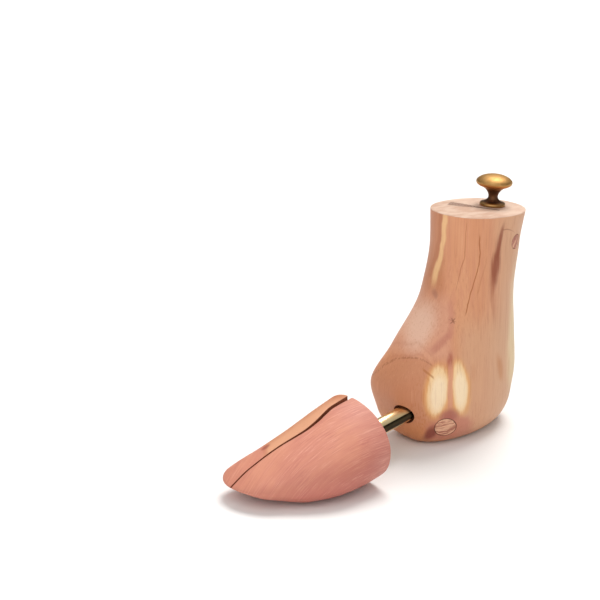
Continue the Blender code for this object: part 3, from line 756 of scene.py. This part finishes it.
def bright_brass():
    s = Shader("bright_brass")
    drawn = s.noise(s.scaled(s.place, (0.08, 3.0, 3.0)), 1.0, 3.0)
    cloud = s.noise(s.place, 0.08, 3.0)
    colour = s.mix(s.step(cloud, 0.3, 0.7), tone(246, 226, 178), tone(238, 214, 160))
    colour = s.mix(s.step(drawn, 0.6, 0.8) * 0.15, colour, tone(176, 140, 80))
    # Painted reflection: a dark band along the outer side stands in for the dark surroundings mirrored in the
    # tube.
    up = TUBE_AXIS.to_3x3() @ Vector((0, 0, 1))
    height = (s.along(up) - Vector(MOUTH).dot(up)) * (1 / TUBE_R)
    painted_dark_reflection = s.step(height, 0.52, 0.45) * s.step(height, -0.45, -0.40) * s.step(s.y, 2, 3)
    colour = s.mix(painted_dark_reflection * 0.96, colour, tone(26, 18, 7))
    return s.finish(colour, 0.3 + (drawn - 0.5) * 0.1, s.bump(drawn, 0.05, 0.0001), 1.0)


def plain_steel(name="steel", shade=(168, 168, 170)):
    s = Shader(name)
    brushed = s.noise(s.scaled(s.place, (0.3, 2.5, 2.5)), 1.0, 4.0)
    colour = s.mix(s.step(brushed, 0.35, 0.7), tone(*shade), tone(*(value * 0.8 for value in shade)))
    return s.finish(colour, 0.3 + (brushed - 0.5) * 0.2, s.bump(brushed, 0.08, 0.0001), 1.0)


# ---------------------------------------------------------------- pieces


def heel_ring(level, count, inset_extra=0.0, drop=0.0):
    """The block's outline at a level, leaning with the leg; drop lowers it square to its own plane."""
    def at(stations):
        return smooth(HEEL_LEVELS, stations, level)

    inset = inset_extra
    if level < BASE_RISE:
        inset = BASE_INSET * (1 - math.sqrt(1 - (1 - level / BASE_RISE) ** 2))
    back, front = at(HEEL_BACK) + inset, at(HEEL_FRONT) - inset
    middle = (back + front) / 2
    share = (level / HEEL_LEVELS[-1] - TILT_STARTS) / (1 - TILT_STARTS)
    share = min(max(share, 0), 1)
    share = share * share * (3 - 2 * share)
    turned_to = Matrix.Rotation(-TOP_TILT * share, 3, "Y") @ Matrix.Rotation(TOP_LEAN * share, 3, "X")
    ring = []
    for k in range(count):
        turn = 2 * math.pi * k / count
        c, s = math.cos(turn), math.sin(turn)
        side = HEEL_LEFT_POWER if s >= 0 else HEEL_RIGHT_POWER
        power = at(side) if c >= 0 else at(HEEL_REAR_POWER)
        x = (front - middle) * rounded(c, power)
        y = (at(HEEL_HALF_WIDTH) - inset) * rounded(s, power)
        y += at(HEEL_BEND) * max(x / BEND_REACH, 0) ** 1.6
        ring.append(tuple(Vector((middle, 0, level)) + turned_to @ Vector((x, y, -drop))))
    return ring


def heel_rings(count=160):
    rings = [heel_ring(BASE_RISE * (1 - math.cos(k / 22 * math.pi / 2)), count) for k in range(22)]
    top = HEEL_LEVELS[-1]
    steps = 96
    straight = top - TOP_ROUNDING - BASE_RISE
    rings += [heel_ring(BASE_RISE + straight * k / steps, count) for k in range(steps + 1)]
    for k in range(1, 5):
        turn = k / 4 * math.pi / 2
        inset = TOP_ROUNDING * (1 - math.cos(turn))
        rings.append(heel_ring(top, count, inset, TOP_ROUNDING * (1 - math.sin(turn))))
    return rings


def make_heel(looks):
    rings = heel_rings()
    block = loft("cedar_heel_block", rings, looks["block"])
    cutters = [
        rod_cutter(MOUTH_R, -MOUTH_DEPTH, 30, ALONG_TUBE, steps=96),
        rod_cutter(GUIDE_R, TUBE_BACK - TRAVEL - 2, -MOUTH_DEPTH + 1, ALONG_TUBE, steps=96),
        rod_cutter(ANCHOR_HOLE_R, *ANCHOR_HOLE_Z, TUBE_AXIS @ Matrix.Translation((ANCHOR_U * MM, 0, 0))),
        rod_cutter(STUD_HOLE_R, -NUT_DEPTH - 9, 5, KNOB_AXIS),
        rod_cutter(NUT_HOLE_R, -NUT_HALF - GAP, OUTSIDE, NUT_AXIS),
        rod_cutter(PATCH_HOLE_R, PATCH_FLOOR, OUTSIDE, PATCH_AXIS),
    ]
    carve(block, cutters, inside=looks["sawn_and_shaded"])
    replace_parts(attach(block, "heel"), "heel_block")
    for name, radius, floor, matrix, node in (
        ("knot_patch", PATCH_R, PATCH_FLOOR + GAP, PATCH_AXIS, "knot_plug"),
        ("nut_hole_plug", PLUG_R, NUT_HALF + 1, NUT_AXIS, "barrel_nut_plug"),
    ):
        plug = rod_cutter(radius, floor, OUTSIDE, matrix, steps=96)
        plug.name = name
        plug.data.materials.append(looks["plug"])
        carve(plug, [loft("outline", rings)], "INTERSECT")
        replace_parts(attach(plug, "heel"), node)


def make_knob(looks):
    crown = [
        (0, 24.4), (3.4, 24.2), (6.8, 23.6), (9.4, 22.7), (11.3, 21.7), (12.7, 20.6), (13.5, 19.6),
        (13.8, 18.6), (13.6, 17.5), (12.8, 16.4), (11.4, 15.5), (9.7, 14.8), (8.0, 14.0), (6.6, 13.0),
        (5.5, 11.8), (4.5, 10.4), (3.9, 9.0), (3.65, 7.7), (3.8, 6.4), (4.5, 5.1), (5.7, 4.0),
    ]
    foot = eased([(7.4, 3.1), (8.9, 2.9), (9.7, 2.2), (9.9, 1.3), (9.6, GAP), (2.2, GAP), (2.2, 8.8)], 0.3)
    knob = lathe("pull_knob", through(crown) + foot + [(0, 9.4)], looks["old_brass"], steps=128)
    knob.data.transform(KNOB_AXIS)
    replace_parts(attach(knob, "heel"), "knob")


def make_tube(looks):
    profile = eased([
        (TUBE_BORE_R, TUBE_FRONT - 1), (TUBE_BORE_R, TUBE_FRONT), (TUBE_R, TUBE_FRONT),
        (TUBE_R, TUBE_BACK), (TUBE_BORE_R, TUBE_BACK), (TUBE_BORE_R, TUBE_BACK + 1),
    ], 0.15)
    tube = lathe("brass_slide_tube", profile, looks["brass"], steps=128)
    tube.data.transform(ALONG_TUBE)
    outline = []
    for centre, start in ((ANCHOR_U + TRAVEL, -90), (ANCHOR_U, 90)):
        for k in range(17):
            angle = math.radians(start + 180 * k / 16)
            outline.append((centre + SLOT_HALF * math.cos(angle), SLOT_HALF * math.sin(angle)))
    carve(tube, [prism_cutter(outline, -9, 9, TUBE_AXIS)])
    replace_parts(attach(tube, "tube"), "brass_tube")


def coil(name, radius, wire, back, front, turns, look):
    """A wound spring along the tube's axis, with its end turns closed up."""
    per_turn, sides = 28, 12
    closed = 1.0
    bm = bmesh.new()
    rows = []
    for k in range(int(turns * per_turn) + 1):
        turn = k / per_turn
        dead = min(turn, closed) + max(turn - (turns - closed), 0)
        live = min(max(turn - closed, 0), turns - 2 * closed)
        open_length = front - back - 2 * wire - 2 * closed * 2.15 * wire
        x = back + wire + dead * 2.15 * wire + open_length * live / (turns - 2 * closed)
        angle = 2 * math.pi * turn
        out = Vector((0, math.cos(angle), math.sin(angle)))
        ring = []
        for j in range(sides):
            around = 2 * math.pi * j / sides
            point = Vector((x, 0, 0)) + out * radius
            point += out * wire * math.cos(around) + Vector((1, 0, 0)) * wire * math.sin(around)
            ring.append(bm.verts.new(point * MM))
        rows.append(ring)
    for first, second in zip(rows, rows[1:]):
        for j in range(sides):
            after = (j + 1) % sides
            bm.faces.new((first[j], first[after], second[after], second[j]))
    bm.faces.new(rows[0])
    bm.faces.new(rows[-1])
    bmesh.ops.transform(bm, matrix=TUBE_AXIS, verts=bm.verts)
    return link_mesh(name, bm, look)


def make_springs(looks):
    back, front = CONE_FRONT + 2 + GAP, BOSS_BACK - GAP
    for name, shape, ends, node, joint, anchor, travel in (
        (
            "tube_spring", (SPRING_R, SPRING_WIRE, 12), (SPRING_BACK, SPRING_FRONT), "main_spring",
            "tube_slide", SPRING_FRONT, TRAVEL,
        ),
        (
            "rod_spring", (RETURN_SPRING_R, RETURN_WIRE, 4), (back, front), "return_spring",
            "toe_slide", back, TOE_TRAVEL,
        ),
    ):
        radius, wire, turns = shape
        spring = coil(name, radius, wire, *ends, turns, looks["spring"])
        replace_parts(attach(spring, "tube"), node)
        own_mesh(spring)


def cut_face(x, side):
    """Where one face of the wandering saw cut lies at x."""
    share = min(max((x - TOE_REAR) / (HINGE_X - TOE_REAR), 0), 1)
    half = CUT_HALF_REAR + (CUT_HALF_FRONT - CUT_HALF_REAR) * share
    wander = smooth(WANDER_STATIONS, WANDER, min(max(x, TOE_REAR), TOE_REAR + TOE_LENGTH))
    return CUT_Y + CUT_SLOPE * (x - TOE_REAR) + wander + side * half


def toe_section(x, side, arc_steps=72):
    """One half's outline across the toe at x: round the outside from the top of the cut to its foot."""
    share = (x - TOE_REAR) / TOE_LENGTH

    def at(stations):
        return smooth(TOE_STATIONS, stations, share)

    low, high, middle = at(TOE_BOTTOM), at(TOE_TOP), at(TOE_CENTRE)
    cap = 1.0
    if share > TOE_CAP:
        cap = math.sqrt(max(0, 1 - ((share - TOE_CAP) / (1 - TOE_CAP)) ** 2))
    cap = max(cap, 0.06)
    widest = low + at(TOE_WIDEST) * (high - low)
    face = cut_face(x, side)
    belly = at(TOE_BELLY_POWER)
    half = cap * (at(TOE_LEFT) if face > middle else at(TOE_RIGHT))
    reach = max(min((face - middle) / half, 0.98), -0.98)

    def angle_at(power):
        return math.acos(math.copysign(abs(reach) ** (power / 2), reach))

    first, last = angle_at(2.0), -angle_at(belly)
    if side < 0:
        last += 2 * math.pi
    points = []
    for k in range(arc_steps + 1):
        t = k / arc_steps
        turn = first + (last - first) * t
        c, s = math.cos(turn), math.sin(turn)
        power = 2.0 if s >= 0 else belly
        out = cap * (at(TOE_LEFT) if c >= 0 else at(TOE_RIGHT))
        height = high - widest if s >= 0 else widest - low
        points.append((middle + out * rounded(c, power), widest + cap * height * rounded(s, power)))
    points[0] = (face, points[0][1])
    points[-1] = (face, points[-1][1])
    return points


def half_ring(x, side, inset=0.0):
    """The closed section of one half at x, with the edges of its cut face eased."""
    outline = [Vector(point) for point in toe_section(x, side)]
    top, foot = outline[0], outline[-1]
    height = (top - foot).length
    share = min(max((x - TOE_REAR) / TOE_LENGTH, 0), 1)
    ease_top = EDGE_EASE + (max(1 - share / REAR_EASE_ENDS, 0) ** 0.7 * REAR_EASE if side > 0 else 0)
    ease_top = min(ease_top, height / 4)
    ease_foot = min(EDGE_EASE, height / 4)
    outline = trimmed(outline, ease_top)
    outline = list(reversed(trimmed(list(reversed(outline)), ease_foot)))
    foot_face = foot + (top - foot).normalized() * ease_foot
    top_face = top + (foot - top).normalized() * ease_top
    corner_foot = [bend(outline[-1], foot, foot_face, k / 4) for k in range(1, 4)]
    corner_top = [bend(top_face, top, outline[0], k / 4) for k in range(1, 4)]
    face = [foot_face.lerp(top_face, k / 12) for k in range(13)]
    ring = outline + corner_foot + face + corner_top
    if inset:
        ring = inwards(ring, inset)
    return [(x, p.x, p.y) for p in ring]


def trimmed(line, distance):
    """The same number of points on what is left of the line beyond distance."""
    count = len(line)
    lengths = [0.0]
    for a, b in zip(line, line[1:]):
        lengths.append(lengths[-1] + (b - a).length)
    total = lengths[-1]
    result = []
    for k in range(count):
        # Keep each point's own share of the way, so the spacing stays fair.
        want = distance + (total - distance) * lengths[k] / total
        i = max(j for j in range(count) if lengths[j] <= want + 1e-9)
        i = min(i, count - 2)
        span = max(lengths[i + 1] - lengths[i], 1e-9)
        result.append(line[i].lerp(line[i + 1], min((want - lengths[i]) / span, 1)))
    return result


def bend(start, corner, end, t):
    """A point of the short curve that rounds a corner."""
    return start * (1 - t) ** 2 + corner * 2 * t * (1 - t) + end * t * t


def inwards(ring, distance):
    """The ring moved in square to itself, towards its middle."""
    count = len(ring)
    middle = sum(ring, Vector((0, 0))) / count
    result = []
    for k in range(count):
        tangent = ring[(k + 1) % count] - ring[k - 1]
        normal = Vector((-tangent.y, tangent.x)).normalized()
        if normal.dot(middle - ring[k]) < 0:
            normal = -normal
        result.append(ring[k] + normal * distance)
    return result


def toe_hollows():
    """Cutters that both halves share: spreader pocket, rod chamber, bar channel and knuckle well."""
    play = CONE_R + CONE_PLAY
    seat_start = CONE_BACK + TOE_TRAVEL + 1
    seat_r = CONE_R - (seat_start - CONE_BACK) * CONE_SLOPE + CONE_PLAY
    seat_end_r = CONE_R - (CONE_FRONT - CONE_BACK) * CONE_SLOPE + CONE_PLAY
    return [
        rod_cutter(play + 0.4, 45, seat_start, ALONG_TUBE),
        rod_cutter(seat_r, seat_start - 0.5, CONE_FRONT + 1, ALONG_TUBE, seat_end_r),
        box_cutter((seat_start - 4, -4, -play), (CONE_FRONT + 2, RELIEF_SIDE, play), TUBE_AXIS),
        box_cutter((CONE_FRONT, -10, -6.5), (ROD_END + 8, 5.5, 6.5), TUBE_AXIS),
        box_cutter((-52, -2.2, BAR_Z[0] - 0.5), (3, CHANNEL_OPENS, BAR_Z[1] + 0.5), HINGE),
        rod_cutter(KNUCKLE_R + 0.7, RIGHT_LEAF_Z[0] - 0.5, LEFT_LEAF_Z[1] + 0.8, HINGE),
    ]


def make_toe_half(side, looks):
    word = "left" if side > 0 else "right"
    rings = []
    for out in (0, 0.1, 0.3, 0.65):
        inset = REAR_ROUNDING * (1 - math.sqrt(1 - (1 - out) ** 2))
        rings.append(half_ring(TOE_REAR + REAR_ROUNDING * out, side, inset))
    steps = 110
    for k in range(steps + 1):
        share = math.sin(k / steps * math.pi / 2)
        rings.append(half_ring(TOE_REAR + REAR_ROUNDING + (TOE_LENGTH - REAR_ROUNDING) * share, side))
    half = loft(f"cedar_toe_{word}", rings, looks[f"toe_{word}"])
    low, high = LEFT_LEAF_Z if side > 0 else RIGHT_LEAF_Z
    faces = sorted((-side * RECESS_OPENS, side * (LEAF_FACES[1] + GAP)))
    cutters = toe_hollows()
    cutters.append(box_cutter((-LEAF_LENGTH - GAP, faces[0], low - GAP), (0, faces[1], high + GAP), HINGE))
    for place in SCREW_PLACES:
        where = Vector((-place, side * (LEAF_FACES[0] + 0.1), (low + high) / 2)) * MM
        matrix = HINGE @ Matrix.Translation(where) @ Matrix.Rotation(-side * math.pi / 2, 4, "X")
        cutters.append(rod_cutter(PILOT_R, 0.5, SCREW_LENGTH + 0.5, matrix, steps=24))
    carve(half, cutters, inside=looks["sawn_and_shaded"])
    half.data.materials.append(looks["sawn_and_shaded"])
    for polygon in half.data.polygons:
        x, y, _ = polygon.center / MM
        if abs(y - cut_face(x, side)) < 0.05 and abs(polygon.normal.z) < 0.3 and x > TOE_REAR + 0.1:
            polygon.material_index = len(half.data.materials) - 1
    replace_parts(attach(half, f"toe_{word}"), f"toe_half_{word}")


def dress_inner_parts(looks):
    """The small inner parts keep their own shapes and get a finish."""
    finishes = {
        "steel": (
            "barrel_nut", "knob_stud", "anchor_pin", "spring_seat", "spreader_rod", "hinge_bar", "hinge_pin",
            "hinge_leaf_left", "hinge_leaf_right",
        ),
        "brass": (
            "spring_stop", "spreader_cone", "leaf_screw_left_front", "leaf_screw_left_rear",
            "leaf_screw_right_front", "leaf_screw_right_rear",
        ),
    }
    for look, names in finishes.items():
        for name in names:
            data = frame["nodes"][name].data
            data.materials.clear()
            data.materials.append(looks[look])


# ---------------------------------------------------------------- studio


def make_studio():
    bm = bmesh.new()
    bmesh.ops.create_grid(bm, x_segments=1, y_segments=1, size=9)
    floor = link_mesh("studio_floor", bm)
    floor.location.z = -0.0001
    s = Shader("studio_paper")
    grain = s.noise(s.place, 0.6, 3.0)
    paper = s.finish(s.mix(grain, (0.86, 0.86, 0.855), (0.88, 0.88, 0.875)), 0.9, specular=0.1)
    floor.data.materials.append(paper)

    world = bpy.data.worlds.new("studio")
    bpy.context.scene.world = world
    world.use_nodes = True
    nodes, links = world.node_tree.nodes, world.node_tree.links
    background = nodes["Background"]
    coordinates = nodes.new("ShaderNodeTexCoord")
    parts = nodes.new("ShaderNodeSeparateXYZ")
    ramp = nodes.new("ShaderNodeMapRange")
    ramp.interpolation_type = "SMOOTHSTEP"
    for key, value in ((1, 0.2), (2, 0.55), (3, 0.05), (4, 0.5)):
        ramp.inputs[key].default_value = value
    links.new(coordinates.outputs["Generated"], parts.inputs[0])
    links.new(parts.outputs["Z"], ramp.inputs[0])
    links.new(ramp.outputs[0], background.inputs["Strength"])
    background.inputs["Color"].default_value = (1.0, 0.99, 0.975, 1)

    for name, toward, energy, spread, tint in (
        ("softbox", (-0.48, -0.22, 1.0), 2.6, 34, (1.0, 0.985, 0.96)),
        ("fill_light", (0.8, 0.5, 0.6), 1.45, 90, (1.0, 0.99, 0.98)),
    ):
        light = bpy.data.lights.new(name, "SUN")
        light.energy = energy
        light.angle = math.radians(spread)
        light.color = tint
        lamp = bpy.data.objects.new(name, light)
        lamp.rotation_mode = "QUATERNION"
        lamp.rotation_quaternion = Vector(toward).to_track_quat("Z", "Y")
        bpy.context.scene.collection.objects.link(lamp)


def make_camera():
    data = bpy.data.cameras.new("studio_camera")
    data.sensor_width = 36
    data.lens = 116.66
    camera = bpy.data.objects.new("studio_camera", data)
    camera.location = (1.01808, 0.93151, 0.64892)
    target = Vector((0.10145, -0.06421, 0.11557))
    camera.rotation_mode = "QUATERNION"
    camera.rotation_quaternion = (target - camera.location).to_track_quat("-Z", "Y")
    data.clip_end = 30
    bpy.context.scene.collection.objects.link(camera)
    bpy.context.scene.camera = camera


def main():
    for obj in list(bpy.data.objects):
        if obj.type in ("CAMERA", "LIGHT") or obj.name == "Cube":
            bpy.data.objects.remove(obj)
    bpy.context.scene.view_settings.view_transform = "Standard"
    looks = {
        "block": block_wood(),
        "toe_left": toe_wood(True),
        "toe_right": toe_wood(False),
        "plug": plug_wood(),
        "sawn_and_shaded": sawn_and_shaded_wood(),
        "old_brass": old_brass(),
        "brass": bright_brass(),
        "steel": plain_steel(),
        "spring": plain_steel("spring_steel", (128, 128, 132)),
    }
    make_heel(looks)
    make_knob(looks)
    make_tube(looks)
    make_springs(looks)
    make_toe_half(1, looks)
    make_toe_half(-1, looks)
    dress_inner_parts(looks)
    make_studio()
    make_camera()


main()
